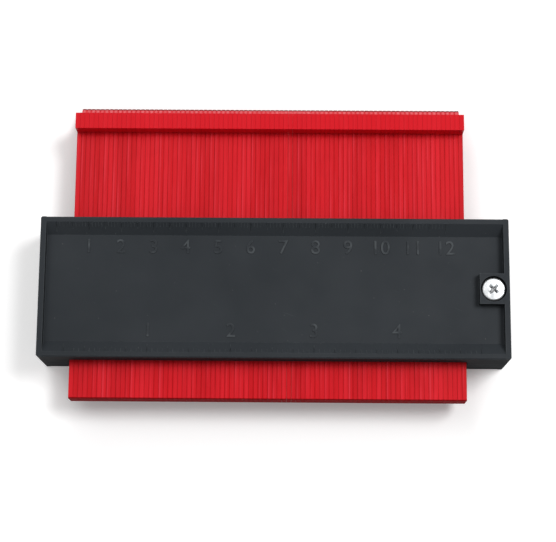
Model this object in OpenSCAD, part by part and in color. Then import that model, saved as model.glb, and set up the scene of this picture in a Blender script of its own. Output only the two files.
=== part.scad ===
// Contour gauge: a row of thin leaves that slide through a moulded body made of two shells.
// X runs along the row of leaves, Y along their travel, Z up from the rear rim to the front rim.
// The origin lies on the rear rim plane, under the middle of the whole outline with the leaves as shown.

/* [Leaves] */
// Distance from one leaf to the next
leaf_pitch = 1.45; // [1.2:0.05:1.8]
// Gap between the sides of two neighbouring leaves
leaf_gap = 0.03; // [0.02:0.01:0.1]
// Depth of the sliding shank, front edge to rear edge
shank_d = 7.6; // [6:0.1:8.6]
// Depth of the cross head, front face to rear face
head_d = 17; // [14:0.25:18]
// Height of the front face of the cross head
head_h = 5; // [4:0.1:8]
// How far the nose rises above the flat top of the head
nose_rise = 6.2; // [3:0.1:8]
// Depth of the sloped nose where it leaves the top of the head
nose_d = 5.5; // [3:0.1:9]
// Depth of the blunt tip of the nose
nose_flat = 1.2; // [0.6:0.1:2.5]
// Chamfer on the two sides of the nose, where neighbouring leaves part
nose_chamfer = 0.2; // [0.1:0.05:0.5]
// Length of shank between the body and the head, as shown
shank_above = 29; // [15:0.5:45]
// Length of shank below the body, as shown
shank_below = 11.8; // [6:0.1:25]
// Chamfer on the corners of a leaf's lower end
toe_chamfer = 0.3; // [0.2:0.1:1]

/* [Body] */
// Height of the body along the leaves
body_h = 43.7; // [38:0.1:60]
// Thickness of the closed body, rear rim to front rim
body_t = 20.5; // [19.5:0.25:26]
// Length of the end block with the hooks, beside the row of leaves
left_block_w = 9; // [8:0.1:14]
// Length of the end block with the screw, beside the row of leaves
right_block_w = 12.6; // [11.5:0.1:18]
// Width of the flat rim along the long edges
long_rim_w = 1.6; // [1.2:0.1:2]
// Width of the flat rim across the ends
end_rim_w = 1.7; // [1.2:0.1:2.2]
// Width of the sloped scale band inside each long rim
band_w = 3.6; // [2.5:0.1:5]
// Depth of the tray below the rim
tray_depth = 2.7; // [1.8:0.1:3]
// Thickness of the moulded walls
wall = 1.8; // [1.4:0.1:2]
// Width of the guide lips that the leaves run between
lip_w = 3.6; // [2.5:0.1:5]
// Bevel on the outer edges of the moulding
edge_bevel = 0.4; // [0.2:0.05:0.6]

/* [Screw and boss] */
// Diameter of the screw head
screw_head_d = 7.3; // [6:0.1:7.6]
// Height of the screw head
screw_head_h = 2.4; // [1.8:0.1:2.6]
// Diameter of the screw shank
screw_d = 3.5; // [3:0.1:4]
// Length of screw below the parting plane
screw_bite = 5; // [3.5:0.1:5.2]
// Width of the cross recess slots
recess_w = 1.1; // [0.8:0.1:1.4]
// Length of the cross recess slots
recess_len = 4; // [3:0.1:4.5]
// Depth of the cross recess
recess_depth = 1.5; // [1:0.1:1.6]
// Distance from the end of the body to the screw
screw_inset = 4.9; // [4.7:0.1:5.6]
// Size of the square screw boss along the leaves
boss_h = 9.5; // [9.2:0.1:12]
// Distance from the screw to the inner side of the boss
boss_reach = 4.3; // [4.2:0.1:5]
// How far the screw head lies below the rim
head_below_rim = 0.4; // [0.2:0.1:0.8]

/* [Hooks and pegs] */
// Width of each hook along the leaves
hook_w = 7; // [4:0.5:10]
// Thickness of a hook
hook_t = 1.6; // [1.2:0.1:2]
// How far a hook reaches below the parting plane
hook_drop = 3.6; // [2.6:0.1:4.2]
// How far the hook's toe reaches out under the ledge
hook_toe = 0.9; // [0.6:0.1:1]
// Height of the hook's toe
hook_toe_h = 1.4; // [1:0.1:1.8]
// Distance of each hook from the body's centre line
hook_y = 10; // [7:0.5:13]
// Diameter of a locating peg
peg_d = 2.4; // [2:0.1:3]
// Length of a locating peg
peg_len = 1.6; // [1:0.1:2.5]

/* [Friction strips] */
// Width of a strip along the leaves
strip_w = 7; // [4:0.5:12]
// Thickness of the ribs that hold a strip
strip_rib = 1.3; // [0.9:0.1:2]

/* [Fits] */
// Running clearance between a leaf and the guide lips
leaf_clear = 0.15; // [0.08:0.01:0.25]
// Clearance between a leaf edge and the friction strip
strip_touch = 0.05; // [0.03:0.01:0.07]
// Clearance between the row of leaves and each end block
row_clear = 0.35; // [0.2:0.05:0.6]
// Clearance around a strip in its seat
seat_clear = 0.1; // [0.05:0.05:0.2]
// Radial clearance of the screw head in its counterbore
head_clear = 0.35; // [0.3:0.05:0.6]
// Radial clearance of the screw in the front shell
shank_clear = 0.3; // [0.2:0.05:0.4]
// Radial clearance of the screw in its pilot hole
pilot_clear = 0.03; // [0.02:0.01:0.05]
// Radial clearance of a locating peg in its socket
peg_clear = 0.1; // [0.05:0.01:0.15]
// Clearance around a hook in the rear shell
hook_clear = 0.15; // [0.1:0.01:0.25]

/* [Hidden] */
$fn = 64;
eps = 0.01;
leaf_count = 84;
leaves_per_pair = 2;
pair_count = leaf_count / leaves_per_pair;
leaf_t = leaf_pitch - leaf_gap;

// Widths, and places along X measured from the middle of the body
channel_w = leaf_count * leaf_pitch + 2 * row_clear;
body_w = left_block_w + channel_w + right_block_w;
half_w = body_w / 2;
row_x = (left_block_w - right_block_w) / 2;
screw_x = half_w - screw_inset;
left_block_x = left_block_w / 2 - half_w;
right_block_x = half_w - right_block_w / 2;

// Places along Y, measured from the body's centre line
half_h = body_h / 2;
head_low_y = half_h + shank_above;
head_top_y = head_low_y + head_h;
nose_y = head_top_y + nose_rise;
toe_y = -half_h - shank_below;
body_y = -(nose_y + toe_y) / 2;

// Heights of the working planes
mid_z = body_t / 2;
shank_front_z = mid_z + shank_d / 2;
lip_z = shank_front_z + leaf_clear;
tray_z = body_t - tray_depth;
panel_z = tray_z - wall;

// Screw, its pillar and the pegs
screw_seat_z = body_t - head_below_rim - screw_head_h;
screw_len = screw_seat_z - mid_z + screw_bite;
screw_dome = 0.8;
screw_point = 0.5;
pillar_h = screw_d + 3 * wall;
peg_y = half_h - wall - peg_d;
pocket_end_y = peg_y - peg_d;

leaf_nodes = [for (n = [1 : pair_count]) str("leaf_pair_", n < 10 ? "0" : "", n)];

// Puts a shape drawn about the middle of the body into the part's frame
module in_frame() {
    translate([0, body_y, 0])
        children();
}

// Mirrors a front feature into the rear half
module to_rear() {
    translate([0, 0, body_t])
        mirror([0, 0, 1])
            children();
}

// Runs a profile drawn in Y and Z along X, centred
module along_x(length) {
    translate([-length / 2, 0, 0])
        rotate([90, 0, 90])
            linear_extrude(length)
                children();
}

// A block given by its centre in plan, its plan size and its two heights
module block(x, y, w, h, z0, z1) {
    translate([x - w / 2, y - h / 2, z0])
        cube([w, h, z1 - z0]);
}

// Half of the long section, from the panel over the scale band and the rim down to the guide lip
function half_section() = [
    [0, tray_z],
    [half_h - long_rim_w - band_w, tray_z],
    [half_h - long_rim_w, body_t],
    [half_h - edge_bevel, body_t],
    [half_h, body_t - edge_bevel],
    [half_h, lip_z],
    [half_h - lip_w, lip_z],
    [half_h - lip_w, panel_z],
    [0, panel_z],
];

// Long section of a shell: two rims, two scale bands, a thin panel and the guide lips
module shell_section() {
    polygon(half_section());
    mirror([1, 0])
        polygon(half_section());
}

// Plan of the moulding with its four corners cut back
module shell_plan() {
    polygon([
        [half_w, edge_bevel - half_h], [half_w, half_h - edge_bevel],
        [half_w - edge_bevel, half_h], [edge_bevel - half_w, half_h],
        [-half_w, half_h - edge_bevel], [-half_w, edge_bevel - half_h],
        [edge_bevel - half_w, -half_h], [half_w - edge_bevel, -half_h],
    ]);
}

// Rims across the two ends of the tray
module end_rims() {
    for (side = [-1, 1])
        block(side * (half_w - end_rim_w / 2), 0, end_rim_w, body_h, panel_z, body_t);
}

// End blocks from the parting plane up to the tray, on either side of the row of leaves
module end_blocks() {
    block(left_block_x, 0, left_block_w, body_h, mid_z, tray_z);
    block(right_block_x, 0, right_block_w, body_h, mid_z, tray_z);
}

// Pockets that leave the end blocks with even walls and a pillar for the screw
module end_pockets() {
    pocket_h = pocket_end_y - pillar_h / 2;
    block(left_block_x, 0, left_block_w - 2 * wall, body_h - 2 * wall, mid_z - eps, panel_z);
    for (way = [-1, 1])
        block(
            right_block_x, way * (pillar_h + pocket_h) / 2,
            right_block_w - 2 * wall, pocket_h, mid_z - eps, panel_z
        );
}

// Ribs behind the panel that hold the friction strip
module strip_ribs() {
    for (way = [-1, 1])
        block(
            row_x, way * (strip_w / 2 + seat_clear + strip_rib / 2),
            channel_w, strip_rib, lip_z, panel_z + eps
        );
}

// What both shells share, drawn as the front one
module shell_core() {
    difference() {
        intersection() {
            union() {
                along_x(body_w)
                    shell_section();
                end_rims();
                end_blocks();
            }
            linear_extrude(body_t)
                shell_plan();
        }
        end_pockets();
    }
    strip_ribs();
}

// Square screw boss that stands in the tray against the end rim
module screw_boss() {
    inner_x = screw_x - boss_reach;
    outer_x = half_w - end_rim_w / 2;
    block((inner_x + outer_x) / 2, 0, outer_x - inner_x, boss_h, panel_z, body_t);
}

// Counterbore and clearance hole for the screw
module screw_hole() {
    translate([screw_x, 0, screw_seat_z])
        cylinder(d = screw_head_d + 2 * head_clear, h = body_t);
    translate([screw_x, 0, mid_z - eps])
        cylinder(d = screw_d + 2 * shank_clear, h = body_t);
}

// Blind pilot hole that the screw bites into
module pilot_hole() {
    translate([screw_x, 0, mid_z - screw_bite - screw_point])
        cylinder(d = screw_d + 2 * pilot_clear, h = screw_bite + screw_point + eps);
}

// Hooks of the front shell: a root on the end wall, a tongue and a toe under the rear shell's ledge
module hooks() {
    wall_x = wall - half_w;
    outer_x = wall_x + hook_clear;
    low_z = mid_z - hook_drop;
    for (way = [-1, 1]) {
        block(
            wall_x + (hook_clear + hook_t) / 2 - eps, way * hook_y,
            hook_clear + hook_t, hook_w, mid_z, panel_z + eps
        );
        block(outer_x + hook_t / 2, way * hook_y, hook_t, hook_w, low_z, mid_z + eps);
        block(outer_x - hook_toe / 2 + eps, way * hook_y, hook_toe, hook_w, low_z, low_z + hook_toe_h);
    }
}

// Slots in the rear shell's end wall that the toes of the hooks sit in
module hook_slots() {
    low_z = mid_z - hook_drop;
    for (way = [-1, 1])
        block(
            wall - half_w - hook_toe / 2 + eps, way * hook_y,
            hook_toe, hook_w + 2 * hook_clear,
            low_z - hook_clear, low_z + hook_toe_h + hook_clear
        );
}

// Locating pegs on the rear shell, at the screw end
module pegs() {
    for (way = [-1, 1])
        translate([right_block_x, way * peg_y, mid_z - wall])
            cylinder(d = peg_d, h = wall + peg_len);
}

// Sockets for the pegs in the front shell
module peg_sockets() {
    for (way = [-1, 1])
        translate([right_block_x, way * peg_y, mid_z - eps])
            cylinder(d = peg_d + 2 * peg_clear, h = peg_len + peg_clear + eps);
}

module front_shell() {
    color([0.23, 0.25, 0.27])
        in_frame()
            difference() {
                union() {
                    shell_core();
                    screw_boss();
                    hooks();
                }
                screw_hole();
                peg_sockets();
            }
}

module rear_shell() {
    color([0.2, 0.22, 0.24])
        in_frame()
            difference() {
                union() {
                    to_rear()
                        shell_core();
                    pegs();
                }
                pilot_hole();
                hook_slots();
            }
}

// Pan-head screw with a cross recess, seated in the counterbore
module clamp_screw() {
    head_r = screw_head_d / 2;
    shank_r = screw_d / 2;
    color([0.82, 0.83, 0.85])
        in_frame()
            translate([screw_x, 0, screw_seat_z])
                difference() {
                    rotate_extrude()
                        polygon([
                            [0, -screw_len], [shank_r - screw_point, -screw_len],
                            [shank_r, 2 * screw_point - screw_len], [shank_r, 0],
                            [head_r, 0], [head_r, screw_head_h - screw_dome],
                            [head_r - screw_dome, screw_head_h], [0, screw_head_h],
                        ]);
                    for (turn = [0, 90])
                        rotate([0, 0, turn])
                            block(0, 0, recess_len, recess_w, screw_head_h - recess_depth, screw_head_h + eps);
                }
}

// Soft strip between its two ribs, against the panel
module friction_strip() {
    block(row_x, 0, channel_w - 2 * seat_clear, strip_w, shank_front_z + strip_touch, panel_z);
}

module front_friction_strip() {
    color([0.1, 0.1, 0.11])
        in_frame()
            friction_strip();
}

module rear_friction_strip() {
    color([0.1, 0.1, 0.11])
        in_frame()
            to_rear()
                friction_strip();
}

// Side view of one leaf: plain toe, straight shank, cross head and a sloped nose along its rear edge
module leaf_outline() {
    front = mid_z + head_d / 2;
    rear = mid_z - head_d / 2;
    shank_rear_z = mid_z - shank_d / 2;
    polygon([
        [toe_y + toe_chamfer, shank_rear_z], [head_low_y, shank_rear_z],
        [head_low_y, rear], [nose_y, rear],
        [nose_y, rear + nose_flat], [head_top_y, rear + nose_d],
        [head_top_y, front], [head_low_y, front], [head_low_y, shank_front_z],
        [toe_y + toe_chamfer, shank_front_z], [toe_y, shank_front_z - toe_chamfer],
        [toe_y, shank_rear_z + toe_chamfer],
    ]);
}

// Plan of one leaf, oversize apart from the corners cut back at the nose
module leaf_plan() {
    half_t = leaf_t / 2;
    side = half_t + eps;
    cut = nose_chamfer + eps;
    polygon([
        [-side, toe_y - eps], [side, toe_y - eps], [side, nose_y - cut],
        [half_t - cut, nose_y + eps], [cut - half_t, nose_y + eps], [-side, nose_y - cut],
    ]);
}

// Middle of a leaf along X, counted from the left end of the row
function leaf_x(index) = row_x + (index - (leaf_count - 1) / 2) * leaf_pitch;

// Two neighbouring leaves
module leaf_pair(number) {
    first = (number - 1) * leaves_per_pair;
    color([0.8, 0.1, 0.14])
        in_frame()
            for (index = [first : first + leaves_per_pair - 1])
                translate([leaf_x(index), 0, 0])
                    intersection() {
                        along_x(leaf_t)
                            leaf_outline();
                        linear_extrude(body_t)
                            leaf_plan();
                    }
}

front_shell();
rear_shell();
clamp_screw();
front_friction_strip();
rear_friction_strip();
for (n = [1 : pair_count])
    leaf_pair(n);
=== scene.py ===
import math
import bpy
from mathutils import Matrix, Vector


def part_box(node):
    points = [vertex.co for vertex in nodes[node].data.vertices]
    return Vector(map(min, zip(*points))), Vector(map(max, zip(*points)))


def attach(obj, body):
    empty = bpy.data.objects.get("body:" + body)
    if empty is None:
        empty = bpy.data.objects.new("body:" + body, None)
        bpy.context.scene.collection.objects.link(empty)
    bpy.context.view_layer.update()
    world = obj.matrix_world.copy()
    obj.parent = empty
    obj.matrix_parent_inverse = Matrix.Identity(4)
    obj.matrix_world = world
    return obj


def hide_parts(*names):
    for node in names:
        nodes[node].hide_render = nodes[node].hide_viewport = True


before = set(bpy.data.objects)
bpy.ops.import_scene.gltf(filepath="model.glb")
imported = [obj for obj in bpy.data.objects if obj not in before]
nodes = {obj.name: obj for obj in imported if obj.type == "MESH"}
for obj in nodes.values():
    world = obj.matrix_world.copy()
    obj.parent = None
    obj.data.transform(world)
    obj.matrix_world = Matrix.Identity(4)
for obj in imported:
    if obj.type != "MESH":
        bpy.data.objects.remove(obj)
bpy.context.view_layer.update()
mm = 0.001
leafNames = sorted(name for name in nodes if name.startswith("leaf_pair"))
print("frame loaded:", len(nodes), "nodes")

shellLow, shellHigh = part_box("front_shell")
bodyY = (shellLow.y + shellHigh.y) / 2  # middle of the body along the leaves
frontZ = shellHigh.z  # plane of the front rim
straight = 0.99  # a face looks straight up or down when its normal's Z is past this

# small helpers for modelling


def objectMode():
    if bpy.context.mode != "OBJECT":
        bpy.ops.object.mode_set(mode="OBJECT")


def clearSelection():
    objectMode()
    bpy.ops.object.select_all(action="DESELECT")


def makeActive(piece):
    clearSelection()
    piece.select_set(True)
    bpy.context.view_layer.objects.active = piece


def pickNothing():
    bpy.ops.object.mode_set(mode="EDIT")
    bpy.ops.mesh.select_mode(type="FACE")
    bpy.ops.mesh.select_all(action="DESELECT")
    bpy.ops.object.mode_set(mode="OBJECT")


def pickFaces(piece, rule):
    objectMode()
    pickNothing()
    for face in piece.data.polygons:
        face.select = rule(face)
    bpy.ops.object.mode_set(mode="EDIT")


def pickEdges(piece, rule):
    objectMode()
    pickNothing()
    spots = piece.data.vertices
    for edge in piece.data.edges:
        a, b = (spots[i].co for i in edge.vertices)
        edge.select = rule(a, b)
    bpy.ops.object.mode_set(mode="EDIT")
    bpy.ops.mesh.select_mode(type="EDGE")


def addRounding(piece, width, steps, angle):
    soft = piece.modifiers.new("softEdges", "BEVEL")
    soft.width = width
    soft.segments = steps
    soft.limit_method = "ANGLE"
    soft.angle_limit = angle


def applyAll(piece):
    makeActive(piece)
    for modifier in list(piece.modifiers):
        bpy.ops.object.modifier_apply(modifier=modifier.name)


def settle(piece, name):
    makeActive(piece)
    bpy.ops.object.transform_apply(location=True, rotation=True, scale=True)
    piece.name = name
    piece.data.name = name


def joinAll(pieces):
    clearSelection()
    for piece in pieces:
        piece.select_set(True)
    bpy.context.view_layer.objects.active = pieces[0]
    if len(pieces) > 1:
        bpy.ops.object.join()
    return bpy.context.object


def closeSeams(piece, reach=1e-6):
    makeActive(piece)
    bpy.ops.object.mode_set(mode="EDIT")
    bpy.ops.mesh.select_all(action="SELECT")
    bpy.ops.mesh.remove_doubles(threshold=reach)
    bpy.ops.mesh.normals_make_consistent(inside=False)
    bpy.ops.object.mode_set(mode="OBJECT")


# small helpers for materials
vec = "NodeSocketVector"
num = "NodeSocketFloat"
midFade = (0.35, 0.65)  # part of a noise's range that a fade covers
wideFade = (0.3, 0.7)


def put(tree, kind, inputs=None, **settings):
    node = tree.nodes.new(kind)
    for key, value in settings.items():
        setattr(node, key, value)
    for key, value in (inputs or {}).items():
        if isinstance(value, bpy.types.NodeSocket):
            tree.links.new(value, node.inputs[key])
        else:
            node.inputs[key].default_value = value
    return node


def calc(tree, operation, a, b=0.0, clamp=False):
    return put(tree, "ShaderNodeMath", {0: a, 1: b}, operation=operation, use_clamp=clamp).outputs[0]


def times(tree, a, b):
    return calc(tree, "MULTIPLY", a, b)


def ramp(tree, value, low, high, toLow=0.0, toHigh=1.0):
    sizes = {"Value": value, "From Min": low, "From Max": high, "To Min": toLow, "To Max": toHigh}
    return put(tree, "ShaderNodeMapRange", sizes).outputs[0]


def mixColour(tree, amount, a, b, blend="MIX"):
    inputs = {0: amount, 6: a, 7: b}
    return put(tree, "ShaderNodeMix", inputs, data_type="RGBA", blend_type=blend).outputs[2]


def stretch(tree, place, sizes):
    return put(tree, "ShaderNodeMapping", {"Vector": place, "Scale": sizes}).outputs[0]


def split(tree, place):
    return put(tree, "ShaderNodeSeparateXYZ", {0: place}).outputs


def noise(tree, place, scale, detail=2.0, rough=0.5, twist=0.0):
    sizes = {"Vector": place, "Scale": scale, "Detail": detail, "Roughness": rough, "Distortion": twist}
    return put(tree, "ShaderNodeTexNoise", sizes).outputs[0]


def upness(tree):
    return split(tree, put(tree, "ShaderNodeNewGeometry").outputs["Normal"])[2]


def startGroup(name, takes, gives):
    group = bpy.data.node_groups.new(name, "ShaderNodeTree")
    for label, kind in takes:
        group.interface.new_socket(name=label, in_out="INPUT", socket_type=kind)
    for label, kind in gives:
        group.interface.new_socket(name=label, in_out="OUTPUT", socket_type=kind)
    entry = group.nodes.new("NodeGroupInput")
    leave = group.nodes.new("NodeGroupOutput")
    return group, entry.outputs, leave.inputs


def placeGroup(tree, group, inputs):
    return put(tree, "ShaderNodeGroup", inputs, node_tree=group).outputs


def startMaterial(name):
    material = bpy.data.materials.new(name)
    material.use_nodes = True
    tree = material.node_tree
    shader = tree.nodes["Principled BSDF"]
    coords = put(tree, "ShaderNodeTexCoord").outputs["Object"]
    place = put(tree, "ShaderNodeVectorMath", {0: coords, "Scale": 1 / mm}, operation="SCALE").outputs[0]
    return material, tree, shader.inputs, place  # place is in millimetres


def addBump(tree, shader, height, look):
    sizes = {"Strength": look["bump"], "Distance": look["bumpReach"], "Height": height}
    tree.links.new(put(tree, "ShaderNodeBump", sizes).outputs[0], shader["Normal"])


def srgb(red, green, blue):
    def flat(value):
        value /= 255
        return value / 12.92 if value <= 0.04045 else ((value + 0.055) / 1.055) ** 2.4
    return (flat(red), flat(green), flat(blue), 1.0)


# moulded skin: fine grain of the mould and slow clouds in the colour
mouldSkin, entry, leave = startGroup(
    "mouldSkin", [("Place", vec), ("Grain Size", num), ("Cloud Size", num)], [("Grain", num), ("Cloud", num)])
tree = mouldSkin
grainScale = calc(tree, "DIVIDE", 1.0, entry["Grain Size"])
cloudScale = calc(tree, "DIVIDE", 1.0, entry["Cloud Size"])
tree.links.new(noise(tree, entry["Place"], grainScale, detail=3.0, rough=0.6), leave["Grain"])
tree.links.new(noise(tree, entry["Place"], cloudScale), leave["Cloud"])


def addSkin(tree, place, look):
    sizes = {"Place": place, "Grain Size": look["grain"], "Cloud Size": look["cloud"]}
    return placeGroup(tree, mouldSkin, sizes)


# rub marks: thin broken scratches in two directions
rubForm = {
    "ways": ((0.35, (0.11, 4.2, 0.5)), (-0.9, (4.6, 0.13, 0.5))),  # turn and stretch of each direction
    "twist": 0.3, "patchScale": 0.06, "limit": 0.80, "patchShare": 0.12, "sharp": 16.0,
}
rubMarks, entry, leave = startGroup("rubMarks", [("Place", vec), ("Amount", num)], [("Mask", num)])
tree = rubMarks
scratchMasks = []
for turn, sizes in rubForm["ways"]:
    turning = {"Vector": entry["Place"], "Rotation": (0, 0, turn)}
    turned = put(tree, "ShaderNodeMapping", turning).outputs[0]
    lines = noise(tree, stretch(tree, turned, sizes), 1.0, twist=rubForm["twist"])
    patches = noise(tree, turned, rubForm["patchScale"], detail=1.0)
    limit = calc(tree, "SUBTRACT", rubForm["limit"], times(tree, patches, rubForm["patchShare"]))
    above = calc(tree, "SUBTRACT", lines, limit)
    scratchMasks.append(calc(tree, "MULTIPLY", above, rubForm["sharp"], clamp=True))
scratched = calc(tree, "MAXIMUM", *scratchMasks)
tree.links.new(times(tree, scratched, entry["Amount"]), leave["Mask"])

# pale edges, partly wear and partly painted highlight where an edge catches the light: a rounded normal
# departs from the plain one only near an edge
edgeForm = {"samples": 6, "patchScale": 0.45, "patchLeast": 0.35, "alike": (0.985, 0.80)}
edgeWearAndHighlight, entry, leave = startGroup("edgeWearAndHighlight", [("Place", vec), ("Reach", num)], [("Mask", num)])
tree = edgeWearAndHighlight
rounded = put(tree, "ShaderNodeBevel", {"Radius": entry["Reach"]}, samples=edgeForm["samples"]).outputs[0]
plain = put(tree, "ShaderNodeNewGeometry").outputs["Normal"]
alike = put(tree, "ShaderNodeVectorMath", {0: rounded, 1: plain}, operation="DOT_PRODUCT").outputs["Value"]
patches = noise(tree, entry["Place"], edgeForm["patchScale"], detail=3.0)
broken = ramp(tree, patches, *midFade, edgeForm["patchLeast"], 1.0)
tree.links.new(times(tree, ramp(tree, alike, *edgeForm["alike"]), broken), leave["Mask"])

# dust: sparse pale specks on faces that look up
dustForm = {
    "cellScale": 0.42, "speck": (0.075, 0.03), "patchScale": 0.21, "patchFade": (0.5, 0.62),
    "upFade": (0.4, 0.8),
}
dustFall, entry, leave = startGroup("dustFall", [("Place", vec), ("Amount", num)], [("Mask", num)])
tree = dustFall
cells = put(tree, "ShaderNodeTexVoronoi", {"Vector": entry["Place"], "Scale": dustForm["cellScale"]})
patches = ramp(tree, noise(tree, entry["Place"], dustForm["patchScale"]), *dustForm["patchFade"])
speck = times(tree, ramp(tree, cells.outputs["Distance"], *dustForm["speck"]), patches)
speck = times(tree, speck, ramp(tree, upness(tree), *dustForm["upFade"]))
tree.links.new(times(tree, speck, entry["Amount"]), leave["Mask"])
print("shared effects built")

# shell plastic: satin slate grey moulding, with pale patches on the raised figures that are partly rubbed by
# hands and partly painted highlight
shellLook = {
    "colour": srgb(49, 53, 57), "deep": srgb(44, 48, 52), "side": srgb(36, 39, 42),
    "paleWearAndHighlight": srgb(98, 103, 106), "dust": srgb(140, 141, 140),
    "grain": 0.16, "cloud": 26.0, "rubs": 0.22, "specks": 0.35, "edges": 0.45, "edgeReach": 0.45 * mm,
    "upright": (0.45, 0.1), "figurePatchScale": 0.3, "figurePatchFade": (0.46, 0.62), "handledAndHighlight": 0.34,
    "roughScale": 0.12, "rough": (0.50, 0.64), "sideRough": 0.32, "rubRough": 0.25,
    "rubDeep": 0.8, "bump": 0.16, "bumpReach": 0.03 * mm, "specular": 0.13,
}


def shellMaterial(name, handledAndHighlight=0.0):
    look = shellLook
    material, tree, shader, place = startMaterial(name)
    skin = addSkin(tree, place, look)
    rubs = placeGroup(tree, rubMarks, {"Place": place, "Amount": look["rubs"]})["Mask"]
    edges = placeGroup(tree, edgeWearAndHighlight, {"Place": place, "Reach": look["edgeReach"]})["Mask"]
    dust = placeGroup(tree, dustFall, {"Place": place, "Amount": look["specks"]})["Mask"]
    colour = mixColour(tree, ramp(tree, skin["Cloud"], *midFade), look["deep"], look["colour"])
    # upright faces are rougher, and their darker colour is painted shade, as they get less light than the
    # faces that look up
    upright = ramp(tree, calc(tree, "ABSOLUTE", upness(tree)), *look["upright"])
    colour = mixColour(tree, upright, colour, look["side"])
    # painted highlight as well as wear from hands: pale patches on the figures
    if handledAndHighlight:
        patches = noise(tree, place, look["figurePatchScale"], detail=1.0)
        colour = mixColour(tree, ramp(tree, patches, *look["figurePatchFade"], 0.0, handledAndHighlight), colour, look["paleWearAndHighlight"])
    # painted highlight as well as wear: the edges are painted pale
    colour = mixColour(tree, times(tree, edges, look["edges"]), colour, look["paleWearAndHighlight"])
    colour = mixColour(tree, rubs, colour, look["paleWearAndHighlight"])
    colour = mixColour(tree, dust, colour, look["dust"])
    tree.links.new(colour, shader["Base Color"])
    rough = ramp(tree, noise(tree, place, look["roughScale"], detail=3.0), *wideFade, *look["rough"])
    rough = calc(tree, "ADD", rough, times(tree, rubs, look["rubRough"]))
    rough = calc(tree, "ADD", rough, times(tree, upright, look["sideRough"]))
    tree.links.new(rough, shader["Roughness"])
    height = calc(tree, "SUBTRACT", skin["Grain"], times(tree, rubs, look["rubDeep"]))
    addBump(tree, shader, height, look)
    shader["Specular IOR Level"].default_value = look["specular"]
    return material


shellPlastic = shellMaterial("shellPlastic")
figurePlastic = shellMaterial("figurePlastic", shellLook["handledAndHighlight"])

# the row of leaves, in millimetres
firstLow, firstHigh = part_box(leafNames[0])
lastLow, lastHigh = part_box(leafNames[-1])
leafCount = 2 * len(leafNames)
leafGap = 0.03
rowLow = min(firstLow.x, lastLow.x) / mm
rowHigh = max(firstHigh.x, lastHigh.x) / mm
leafPitch = (rowHigh - rowLow + leafGap) / leafCount
toeY = firstLow.y / mm
noseY = firstHigh.y / mm
leafBack = firstLow.z / mm

# leaf row: which leaf a point is on, and how that leaf differs from its neighbours
rowForm = {
    "drift": 0.16, "apart": 3.7, "slice": 0.5,
    "seamRun": 0.045, "seamFade": (0.38, 0.64, 0.4, 1.0), "seamNear": (0.25, 0.49),
    "gleamRun": 0.03, "gleamShift": 41.0, "gleamFade": (0.5, 0.7),
    "gleamStart": (0.06, 0.2), "gleamEnd": (0.5, 0.3),
    "streak": (2.6, 0.07, 0.05), "streakRough": 0.55,
}
rowGives = ("Tone", "Drift", "Lean", "Middle", "GrooveShade", "Gleam", "Streak")
leafRow, entry, leave = startGroup("leafRow", [("Place", vec)], [(label, num) for label in rowGives])
tree = leafRow
x, y, z = split(tree, entry["Place"])
steps = calc(tree, "DIVIDE", calc(tree, "SUBTRACT", x, rowLow - leafGap / 2), leafPitch)
number = calc(tree, "FLOOR", steps)
across = calc(tree, "FRACT", steps)
draw = put(tree, "ShaderNodeTexWhiteNoise", {"W": number}, noise_dimensions="1D")
draws = put(tree, "ShaderNodeSeparateColor", {0: draw.outputs["Color"]}).outputs
tree.links.new(draws[0], leave["Tone"])
drifting = {"W": number, "Scale": rowForm["drift"], "Detail": 2.0}
drift = put(tree, "ShaderNodeTexNoise", drifting, noise_dimensions="1D").outputs[0]
tree.links.new(drift, leave["Drift"])
tree.links.new(times(tree, calc(tree, "SUBTRACT", draws[1], 0.5), across), leave["Lean"])


def runsAlong(tree, y, index, run):
    spot = {0: times(tree, index, rowForm["apart"]), 1: times(tree, y, run), 2: rowForm["slice"]}
    return noise(tree, put(tree, "ShaderNodeCombineXYZ", spot).outputs[0], 1.0)


# painted shade in the seam between two leaves, which opens and closes along its length
seam = calc(tree, "FLOOR", calc(tree, "ADD", steps, 0.5))
opened = ramp(tree, runsAlong(tree, y, seam, rowForm["seamRun"]), *rowForm["seamFade"])
middle = calc(tree, "ABSOLUTE", calc(tree, "SUBTRACT", across, 0.5))
tree.links.new(middle, leave["Middle"])
tree.links.new(times(tree, ramp(tree, middle, *rowForm["seamNear"]), opened), leave["GrooveShade"])
# painted highlight: some leaves show a pale line beside the seam, where the edge catches the light
shifted = calc(tree, "ADD", number, rowForm["gleamShift"])
lit = ramp(tree, runsAlong(tree, y, shifted, rowForm["gleamRun"]), *rowForm["gleamFade"])
strip = times(tree, ramp(tree, across, *rowForm["gleamStart"]), ramp(tree, across, *rowForm["gleamEnd"]))
tree.links.new(times(tree, strip, lit), leave["Gleam"])
# thin streaks run along every leaf
streakX, streakY, streakZ = (times(tree, value, run) for value, run in zip((x, y, z), rowForm["streak"]))
streakY = calc(tree, "ADD", streakY, times(tree, number, rowForm["apart"]))
spot = put(tree, "ShaderNodeCombineXYZ", {0: streakX, 1: streakY, 2: streakZ}).outputs[0]
tree.links.new(noise(tree, spot, 1.0, detail=3.0, rough=rowForm["streakRough"]), leave["Streak"])

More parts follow.
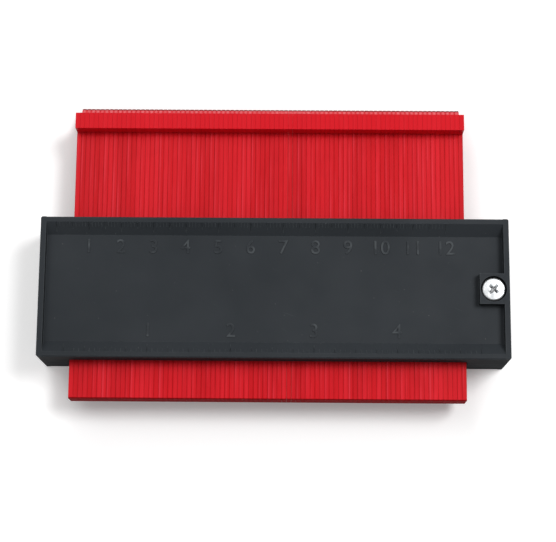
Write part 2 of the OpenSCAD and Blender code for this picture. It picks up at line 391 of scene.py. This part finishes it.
# leaf plastic: glossy red strips, each with its own tone
leafLook = {
    "colour": srgb(211, 23, 33), "pale": srgb(224, 34, 46), "dark": srgb(186, 12, 23),
    "head": srgb(219, 16, 32), "gleam": srgb(232, 62, 76), "edge": srgb(232, 84, 92),
    "nose": srgb(240, 132, 138), "tip": srgb(122, 10, 18), "toe": srgb(150, 6, 14),
    "grooveShade": (0.74, 0.13, 0.20, 1.0),  # painted shade in the seams multiplies the colour
    "grain": 0.22, "cloud": 9.0, "rubs": 0.18, "specks": 0.15,
    "driftFade": (0.45, 0.7, 0.0, 0.55), "streakFade": (0.52, 0.72, 0.0, 0.4),
    "cloudFade": (0.5, 0.75, 0.0, 0.25),
    "headLitTint": 0.7, "headCalm": 0.8, "gleamTint": 0.6, "grooveShadeTint": 0.9,
    "noseMiddle": (0.46, 0.16, 0.1, 0.7), "noseTone": (0.0, 1.0, 0.65, 1.0),
    "rough": (0.30, 0.34), "rubRough": 0.3, "endRough": 0.5,
    "lean": 2.0, "grainDeep": 0.1, "bump": 0.5, "bumpReach": 0.06 * mm, "specular": 0.10,
}
# zones in mm: head, nose and tip down from the top, tipFlat forward from the back, toe up from the lower end
leafZones = {
    "head": (11.3, 11.2), "nose": (1.95, 1.55), "tip": (0.6, 0.35), "tipFlat": (1.05, 1.2), "toe": (0.4, 0.2),
}
leafPlastic, tree, shader, place = startMaterial("leafPlastic")
spread = split(tree, place)
height = spread[1]
row = placeGroup(tree, leafRow, {"Place": place})
skin = addSkin(tree, place, leafLook)
rubs = placeGroup(tree, rubMarks, {"Place": place, "Amount": leafLook["rubs"]})["Mask"]
dust = placeGroup(tree, dustFall, {"Place": place, "Amount": leafLook["specks"]})["Mask"]
head, nose, tip = (
    ramp(tree, height, *(noseY - below for below in leafZones[zone])) for zone in ("head", "nose", "tip"))
shank = calc(tree, "SUBTRACT", 1.0, times(tree, head, leafLook["headCalm"]))
colour = mixColour(tree, row["Tone"], leafLook["colour"], leafLook["pale"])
for mask, fade in ((row["Drift"], "driftFade"), (row["Streak"], "streakFade"), (skin["Cloud"], "cloudFade")):
    colour = mixColour(tree, ramp(tree, mask, *leafLook[fade]), colour, leafLook["dark"])
# painted light: the head is painted a brighter red than the shank, for the light it catches
colour = mixColour(tree, times(tree, head, leafLook["headLitTint"]), colour, leafLook["head"])
# painted highlight: pale lines beside the seams on the shank
gleam = times(tree, row["Gleam"], times(tree, shank, leafLook["gleamTint"]))
colour = mixColour(tree, gleam, colour, leafLook["gleam"])
# painted highlight: the noses are painted pale where they catch the light, with a line of painted shade
# behind the tip
nose = times(tree, nose, ramp(tree, row["Middle"], *leafLook["noseMiddle"]))
nose = times(tree, nose, ramp(tree, row["Tone"], *leafLook["noseTone"]))
colour = mixColour(tree, nose, colour, leafLook["nose"])
# painted shade: a dark line along the back of the tip
tip = times(tree, tip, ramp(tree, spread[2], *(leafBack + depth for depth in leafZones["tipFlat"])))
colour = mixColour(tree, tip, colour, leafLook["tip"])
# painted shade: the lower ends of the leaves are painted darker, as they face away from the light
toe = ramp(tree, height, *(toeY + above for above in leafZones["toe"]))
colour = mixColour(tree, toe, colour, leafLook["toe"])
# painted shade: the seams between the leaves are darkened
grooveShade = times(tree, row["GrooveShade"], times(tree, shank, leafLook["grooveShadeTint"]))
colour = mixColour(tree, grooveShade, colour, leafLook["grooveShade"], "MULTIPLY")
colour = mixColour(tree, rubs, colour, leafLook["edge"])
colour = mixColour(tree, dust, colour, leafLook["edge"])
tree.links.new(colour, shader["Base Color"])
rough = ramp(tree, row["Streak"], *wideFade, *leafLook["rough"])
rough = calc(tree, "ADD", rough, times(tree, rubs, leafLook["rubRough"]))
rough = calc(tree, "ADD", rough, times(tree, calc(tree, "MAXIMUM", nose, toe), leafLook["endRough"]))
tree.links.new(rough, shader["Roughness"])
lean = times(tree, row["Lean"], times(tree, shank, leafLook["lean"]))
addBump(tree, shader, calc(tree, "ADD", times(tree, skin["Grain"], leafLook["grainDeep"]), lean), leafLook)
shader["Specular IOR Level"].default_value = leafLook["specular"]

# screw zinc: bright plating with turned rings, fine scratches and painted shade low in the recess
screwLow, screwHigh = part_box("clamp_screw")
screwAxis = (screwLow + screwHigh) / 2
zincLook = {
    "bright": srgb(236, 238, 239), "dull": srgb(212, 215, 217), "recessShade": srgb(96, 96, 97),
    "rubSize": (4, 4, 4), "rubs": 0.7, "edges": 0.5, "edgeReach": 0.18 * mm, "cloudScale": 0.9,
    "recessShadeFade": (-0.75, -1.4, 0.0, 0.8),  # from the top of the head down, in millimetres
    "roughScale": 2.2, "rough": (0.40, 0.55), "rubRough": 0.2,
    "rings": {"Scale": 2.2, "Distortion": 0.6, "Detail": 1.0}, "ringDeep": 0.4,
    "bump": 0.15, "bumpReach": 0.02 * mm,
}
screwZinc, tree, shader, place = startMaterial("screwZinc")
toTop = (-screwAxis.x / mm, -screwAxis.y / mm, -screwHigh.z / mm)
centred = put(tree, "ShaderNodeMapping", {"Vector": place, "Location": toTop}).outputs[0]
rubPlace = stretch(tree, centred, zincLook["rubSize"])
rubs = placeGroup(tree, rubMarks, {"Place": rubPlace, "Amount": zincLook["rubs"]})["Mask"]
edges = placeGroup(tree, edgeWearAndHighlight, {"Place": place, "Reach": zincLook["edgeReach"]})["Mask"]
cloud = ramp(tree, noise(tree, centred, zincLook["cloudScale"], detail=3.0), *midFade)
colour = mixColour(tree, cloud, zincLook["dull"], zincLook["bright"])
# painted shade: darker low in the head and the recess
deep = ramp(tree, split(tree, centred)[2], *zincLook["recessShadeFade"])
colour = mixColour(tree, deep, colour, zincLook["recessShade"])
colour = mixColour(tree, times(tree, edges, zincLook["edges"]), colour, zincLook["bright"])
tree.links.new(colour, shader["Base Color"])
shader["Metallic"].default_value = 1.0
rough = ramp(tree, noise(tree, centred, zincLook["roughScale"]), *wideFade, *zincLook["rough"])
rough = calc(tree, "ADD", rough, times(tree, rubs, zincLook["rubRough"]))
tree.links.new(rough, shader["Roughness"])
ringing = {"Vector": centred, **zincLook["rings"]}
rings = put(tree, "ShaderNodeTexWave", ringing, wave_type="RINGS", rings_direction="Z").outputs["Fac"]
addBump(tree, shader, calc(tree, "SUBTRACT", times(tree, rings, zincLook["ringDeep"]), rubs), zincLook)

# strip rubber: dark and dull, with narrow bands that the leaves have worn
rubberLook = {
    "colour": srgb(38, 37, 36), "worn": srgb(72, 62, 60), "grain": 0.3, "cloud": 12.0,
    "edges": 0.5, "edgeReach": 0.3 * mm, "bands": 0.35, "bandScale": 0.5 / leafPitch,
    "rough": (0.72, 0.9), "bump": 0.3, "bumpReach": 0.04 * mm,
}
stripRubber, tree, shader, place = startMaterial("stripRubber")
skin = addSkin(tree, place, rubberLook)
edges = placeGroup(tree, edgeWearAndHighlight, {"Place": place, "Reach": rubberLook["edgeReach"]})["Mask"]
banding = {"Vector": place, "Scale": rubberLook["bandScale"]}
bands = put(tree, "ShaderNodeTexWave", banding, bands_direction="X").outputs["Fac"]
colour = mixColour(tree, times(tree, bands, rubberLook["bands"]), rubberLook["colour"], rubberLook["worn"])
colour = mixColour(tree, times(tree, edges, rubberLook["edges"]), colour, rubberLook["worn"])
tree.links.new(colour, shader["Base Color"])
tree.links.new(ramp(tree, skin["Cloud"], *wideFade, *rubberLook["rough"]), shader["Roughness"])
addBump(tree, shader, skin["Grain"], rubberLook)
print("materials built")

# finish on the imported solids: a small rounding on every sharp edge
edgeFinish = {
    "leaf": 0.012 * mm, "shell": 0.14 * mm, "strip": 0.12 * mm, "steps": 2,
    "angle": math.radians(30), "weld": 0.002 * mm, "evenWeight": 100,
}


def roundEdges(piece, width):
    weld = piece.modifiers.new("joinCorners", "WELD")
    weld.merge_threshold = edgeFinish["weld"]
    addRounding(piece, width, edgeFinish["steps"], edgeFinish["angle"])
    even = piece.modifiers.new("evenShade", "WEIGHTED_NORMAL")  # flat faces stay flat beside the rounding
    even.mode = "FACE_AREA"
    even.weight = edgeFinish["evenWeight"]


def dress(piece, material):
    for slot in piece.material_slots:
        slot.material = material
    if not piece.material_slots:
        piece.data.materials.append(material)


for names, material, width in (
        (leafNames, leafPlastic, edgeFinish["leaf"]),
        (("front_shell", "rear_shell"), shellPlastic, edgeFinish["shell"]),
        (("front_friction_strip", "rear_friction_strip"), stripRubber, edgeFinish["strip"])):
    for name in names:
        dress(nodes[name], material)
        roundEdges(nodes[name], width)
print("solids dressed")

# clamp screw: pan head with a tapered cross recess and a threaded shank
screwForm = {
    "sides": 48, "capCorners": 8, "headHeight": 2.4 * mm, "rim": 0.75 * mm, "rimSteps": 6, "rimProfile": 0.55,
    "crown": 0.35 * mm, "crownSteps": ((0.4, 0.65), (0.4, 0.35)),  # share of the flat, share of the crown
    "shankDia": 3.5 * mm, "point": 1.0 * mm, "pointScale": 0.3, "plainLeast": 0.4 * mm,
    "threadPitch": 1.2 * mm, "threadDepth": 0.35 * mm,
    "flankOut": 0.35, "crest": 0.15, "flankIn": 0.5,  # shares of the pitch
    "recessLong": 4.0 * mm, "recessWide": 1.1 * mm, "recessDeep": 1.5 * mm, "recessOver": 0.2 * mm,
    "recessTaper": 0.45, "turn": math.radians(47),
    "softEdge": 0.06 * mm, "softSteps": 2, "softAngle": math.radians(40), "smoothAngle": math.radians(35),
}


def makeScrew():
    form = screwForm
    headRadius = (screwHigh.x - screwLow.x) / 2
    side = form["headHeight"] - form["crown"]
    clearSelection()
    bpy.ops.mesh.primitive_cylinder_add(
        vertices=form["sides"], radius=headRadius, depth=side,
        location=(screwAxis.x, screwAxis.y, screwHigh.z - form["headHeight"] + side / 2))
    screw = bpy.context.object
    pickEdges(screw, lambda a, b: a.z > 0 and b.z > 0)
    bpy.ops.mesh.bevel(
        offset=form["rim"], segments=form["rimSteps"], profile=form["rimProfile"], affect="EDGES")
    # raise the middle of the head into a low crown
    for share, lift in form["crownSteps"]:
        pickFaces(screw, lambda face: face.normal.z > straight and len(face.vertices) > form["capCorners"])
        bpy.ops.mesh.inset(thickness=(headRadius - form["rim"]) * share)
        bpy.ops.transform.translate(value=(0, 0, form["crown"] * lift))
    # shank and thread grow from the underside
    pickFaces(screw, lambda face: face.normal.z < -straight and len(face.vertices) > form["capCorners"])
    crest = form["shankDia"] / 2
    root = crest - form["threadDepth"]
    pitch = form["threadPitch"]
    bpy.ops.mesh.inset(thickness=headRadius - root)
    shank = screwHigh.z - form["headHeight"] - screwLow.z
    turns = int((shank - form["point"] - form["plainLeast"]) / pitch)
    middle = (screwAxis.x, screwAxis.y, 0)

    def grow(step, scale):
        bpy.ops.mesh.extrude_region_move(TRANSFORM_OT_translate={"value": (0, 0, -step)})
        bpy.ops.transform.resize(value=(scale, scale, 1), center_override=middle)

    grow(shank - form["point"] - turns * pitch, 1.0)
    for turn in range(turns):
        grow(pitch * form["flankOut"], crest / root)
        grow(pitch * form["crest"], 1.0)
        grow(pitch * form["flankIn"], root / crest)
    grow(form["point"], form["pointScale"])
    objectMode()
    # two tapered bars cut the cross recess
    over = form["recessOver"]
    taper = form["recessTaper"]
    for bar in range(2):
        clearSelection()
        bpy.ops.mesh.primitive_cube_add(
            size=1.0, location=(screwAxis.x, screwAxis.y, screwHigh.z - form["recessDeep"] / 2 + over / 2),
            scale=(form["recessLong"], form["recessWide"], form["recessDeep"] + over),
            rotation=(0, 0, form["turn"] + bar * math.pi / 2))
        cutter = bpy.context.object
        bpy.ops.object.transform_apply(location=False, rotation=True, scale=True)
        pickFaces(cutter, lambda face: face.normal.z < -straight)
        bpy.ops.transform.resize(value=(taper, taper, 1), center_override=middle)
        objectMode()
        cut = screw.modifiers.new("recess", "BOOLEAN")
        cut.operation = "DIFFERENCE"
        cut.solver = "EXACT"
        cut.object = cutter
        applyAll(screw)
        bpy.data.objects.remove(cutter)
    settle(screw, "clampScrewHead")
    closeSeams(screw)
    addRounding(screw, form["softEdge"], form["softSteps"], form["softAngle"])
    applyAll(screw)
    bpy.ops.object.shade_smooth_by_angle(angle=form["smoothAngle"])
    screw.data.materials.append(screwZinc)
    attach(screw, "gauge_body")
    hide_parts("clamp_screw")


makeScrew()
print("clamp screw modelled")

# figures on the tray: same plastic, very low relief
figureForm = {
    "trayDepth": 2.7 * mm, "height": 4.5 * mm, "typeSize": 1.36,  # type size for a figure one unit high
    "curveSteps": 4, "relief": 0.26 * mm, "sink": 0.03 * mm,
    "cm": {"count": 12, "start": -67.3 * mm, "step": 10.0 * mm, "y": 12.9 * mm},
    "inch": {"count": 4, "start": -63.9 * mm, "step": 25.4 * mm, "y": -13.2 * mm},
}
trayZ = frontZ - figureForm["trayDepth"]


def makeFigures(name, row):
    form = figureForm
    made = []
    thick = form["relief"] + form["sink"]
    for number in range(1, row["count"] + 1):
        clearSelection()
        x = row["start"] + row["step"] * number
        bpy.ops.object.text_add(location=(x, bodyY + row["y"], trayZ + form["relief"] - thick / 2))
        figure = bpy.context.object
        figure.data.body = str(number)
        figure.data.size = form["height"] * form["typeSize"]
        figure.data.align_x = "CENTER"
        figure.data.align_y = "CENTER"
        figure.data.resolution_u = form["curveSteps"]
        figure.data.extrude = thick / 2
        bpy.ops.object.convert(target="MESH")
        made.append(bpy.context.object)
    figures = joinAll(made)
    settle(figures, name)
    closeSeams(figures)
    figures.data.materials.clear()
    figures.data.materials.append(figurePlastic)
    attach(figures, "gauge_body")


makeFigures("figuresCm", figureForm["cm"])
makeFigures("figuresInch", figureForm["inch"])
print("figures modelled")

# scale lines on the two sloped bands, starting at the rim
scaleForm = {
    "rimInside": 20.25 * mm, "bandWidth": 3.6 * mm, "start": 0.15 * mm,
    "wide": 0.28 * mm, "top": 0.55, "relief": 0.07 * mm, "sink": 0.05 * mm,
    # rungs: lines to one step of the figures, and how long those lines are
    "cm": {"side": 1, "span": 12, "rungs": ((10, 1.5 * mm), (2, 2.3 * mm), (1, 3.3 * mm))},
    "inch": {"side": -1, "span": 5, "rungs": ((16, 1.3 * mm), (4, 2.2 * mm), (1, 3.3 * mm))},
}
bandSlope = math.atan2(figureForm["trayDepth"], scaleForm["bandWidth"])


def makeLines(side, first, step, count, length):
    form = scaleForm
    thick = form["relief"] + form["sink"]
    clearSelection()
    reach = form["start"] + length / 2  # down the slope from the rim
    y = bodyY + side * (form["rimInside"] - reach * math.cos(bandSlope))
    z = frontZ - reach * math.sin(bandSlope)
    lift = form["relief"] - thick / 2
    bpy.ops.mesh.primitive_cube_add(
        size=1.0, scale=(form["wide"], length, thick), rotation=(side * bandSlope, 0, 0),
        location=(first, y - side * lift * math.sin(bandSlope), z + lift * math.cos(bandSlope)))
    line = bpy.context.object
    bpy.ops.object.transform_apply(location=False, rotation=False, scale=True)
    pickFaces(line, lambda face: face.normal.z > straight)
    bpy.ops.transform.resize(value=(form["top"], 1.0, 1.0), center_override=(first, y, z))
    objectMode()
    bpy.ops.object.transform_apply(location=False, rotation=True, scale=False)
    copies = line.modifiers.new("copies", "ARRAY")
    copies.count = count
    copies.use_relative_offset = False
    copies.use_constant_offset = True
    copies.constant_offset_displace = (step, 0, 0)
    applyAll(line)
    return line


def makeScale(name, row, ladder):
    made = []
    for parts, length in ladder["rungs"]:
        count = ladder["span"] * parts + 1
        made.append(makeLines(ladder["side"], row["start"], row["step"] / parts, count, length))
    marks = joinAll(made)
    settle(marks, name)
    marks.data.materials.append(shellPlastic)
    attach(marks, "gauge_body")


makeScale("scaleCm", figureForm["cm"], scaleForm["cm"])
makeScale("scaleInch", figureForm["inch"], scaleForm["inch"])
print("scales modelled")

# studio: pale floor and low wall, soft key from the upper right, dim surround
studio = {
    "floorSize": 6.0, "wallRadius": 2.8, "wallHeight": 1.1, "wallSides": 64,
    "white": 0.95, "bounce": 0.5, "fade": (0.35, 1.8), "lift": (0.15, 0.9),
    "ends": (0.055, 0.072), "endLift": 0.35, "world": 0.33,
    "key": {"place": (0.74, 0.28, 1.28), "size": 0.55, "power": 13.2},
    "fill": {"place": (-0.55, 0.60, 1.30), "size": 1.1, "power": 6.0},
    "aim": (0.0, 0.0, 0.01),
}


def stagePaper():
    material = bpy.data.materials.new("stagePaper")
    material.use_nodes = True
    tree = material.node_tree
    tree.nodes.clear()
    path = put(tree, "ShaderNodeLightPath")
    seen = calc(tree, "MAXIMUM", path.outputs["Is Camera Ray"], path.outputs["Is Glossy Ray"])
    seen = calc(tree, "MAXIMUM", seen, path.outputs["Is Transmission Ray"])
    shade = ramp(tree, seen, 0.0, 1.0, studio["bounce"], studio["white"])
    paper = put(tree, "ShaderNodeBsdfDiffuse", {"Color": shade})
    # far from the lamps the paper glows more, so that it stays white up to the wall
    coords = put(tree, "ShaderNodeTexCoord").outputs["Object"]
    away = put(tree, "ShaderNodeVectorMath", {0: coords}, operation="LENGTH").outputs["Value"]
    lift = ramp(tree, away, *studio["fade"], *studio["lift"])
    # it glows towards both ends of the gauge too, which thins the shadow of the body there
    sideways = calc(tree, "ABSOLUTE", split(tree, coords)[0])
    lift = calc(tree, "MAXIMUM", lift, ramp(tree, sideways, *studio["ends"], 0.0, studio["endLift"]))
    bright = put(tree, "ShaderNodeEmission", {"Strength": times(tree, seen, lift)})
    both = put(tree, "ShaderNodeAddShader", {0: paper.outputs[0], 1: bright.outputs[0]})
    put(tree, "ShaderNodeOutputMaterial", {"Surface": both.outputs[0]})
    return material


pale = stagePaper()
clearSelection()
bpy.ops.mesh.primitive_plane_add(size=studio["floorSize"], location=(0, 0, 0))
floor = bpy.context.object
floor.name = "floor"
clearSelection()
bpy.ops.mesh.primitive_circle_add(
    vertices=studio["wallSides"], radius=studio["wallRadius"], location=(0, 0, 0))
wall = bpy.context.object
wall.name = "wall"
bpy.ops.object.mode_set(mode="EDIT")
bpy.ops.mesh.select_mode(type="EDGE")
bpy.ops.mesh.select_all(action="SELECT")
bpy.ops.mesh.extrude_region_move(TRANSFORM_OT_translate={"value": (0, 0, studio["wallHeight"])})
objectMode()
for backdrop in (floor, wall):
    backdrop.data.materials.append(pale)

surround = bpy.data.worlds.new("surround")
bpy.context.scene.world = surround
surround.use_nodes = True
sky = surround.node_tree.nodes["Background"]
sky.inputs["Color"].default_value = (1, 1, 1, 1)
sky.inputs["Strength"].default_value = studio["world"]

for label in ("key", "fill"):
    lamp = studio[label]
    away = Vector(lamp["place"]) - Vector(studio["aim"])
    turn = away.to_track_quat("Z", "Y").to_euler()
    clearSelection()
    bpy.ops.object.light_add(type="AREA", location=lamp["place"], rotation=turn)
    light = bpy.context.object
    light.name = label
    light.data.size = lamp["size"]
    light.data.energy = lamp["power"]

# camera as in the photograph
view = {
    "place": (0.00477, -0.11027, 0.49969), "turn": (11.919, 0.334, 0.446),
    "lens": 103.6, "sensor": 36.0,
}
clearSelection()
bpy.ops.object.camera_add(location=view["place"], rotation=[math.radians(angle) for angle in view["turn"]])
camera = bpy.context.object
camera.data.lens = view["lens"]
camera.data.sensor_width = view["sensor"]
bpy.context.scene.camera = camera
bpy.context.scene.view_settings.view_transform = "Standard"
print("studio set")
